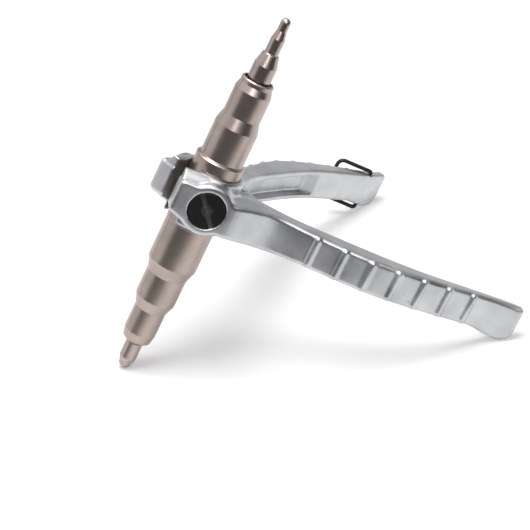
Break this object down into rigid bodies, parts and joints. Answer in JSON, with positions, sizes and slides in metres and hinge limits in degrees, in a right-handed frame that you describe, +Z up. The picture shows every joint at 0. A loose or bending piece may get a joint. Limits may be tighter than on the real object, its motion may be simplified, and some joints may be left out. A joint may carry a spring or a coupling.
{
  "type": "tube expander",
  "caption": "Two-handled tube expander with a split, stepped, double-ended mandrel and a locking wire bail, standing open on its three tips.",
  "frame": {"origin": "middle of the footprint, on the bench the open tool stands on", "axes": "+Z up from the bench, +X from the mandrel's foot towards the grip tips, +Y towards the far handle"},
  "size_m": [0.168, 0.131, 0.1495],
  "materials": {
    "cast_handle": "satin",
    "mandrel_steel": "satin",
    "tip_steel": "satin",
    "black_screw": "satin",
    "bail_wire": "satin",
    "pin_steel": "satin"
  },
  "bodies": {
    "near_side": {"near_handle": "cast_handle", "near_mandrel_half": "mandrel_steel", "near_upper_tip": "tip_steel", "near_lower_pilot": "tip_steel", "near_clamp_screw": "black_screw", "near_dowels": "pin_steel", "hinge_pin": "pin_steel"},
    "far_side": {"far_handle": "cast_handle", "far_mandrel_half": "mandrel_steel", "far_upper_tip": "tip_steel", "far_lower_pilot": "tip_steel", "far_clamp_screw": "black_screw", "far_dowels": "pin_steel"},
    "bail": {"locking_bail": "bail_wire"}
  },
  "joints": [
    {"name": "handle_squeeze", "type": "hinge", "parent": "near_side", "child": "far_side", "pos_m": [-0.02579, -0.00024, 0.0673], "axis": [-0.4971, 0, -0.8677], "range_deg": [0, 52.2]},
    {"name": "bail_swing", "type": "hinge", "parent": "far_side", "child": "bail", "pos_m": [0.06979, 0.05696, 0.01254], "axis": [-0.4971, 0, -0.8677], "range_deg": [-18.5, 251]}
  ]
}
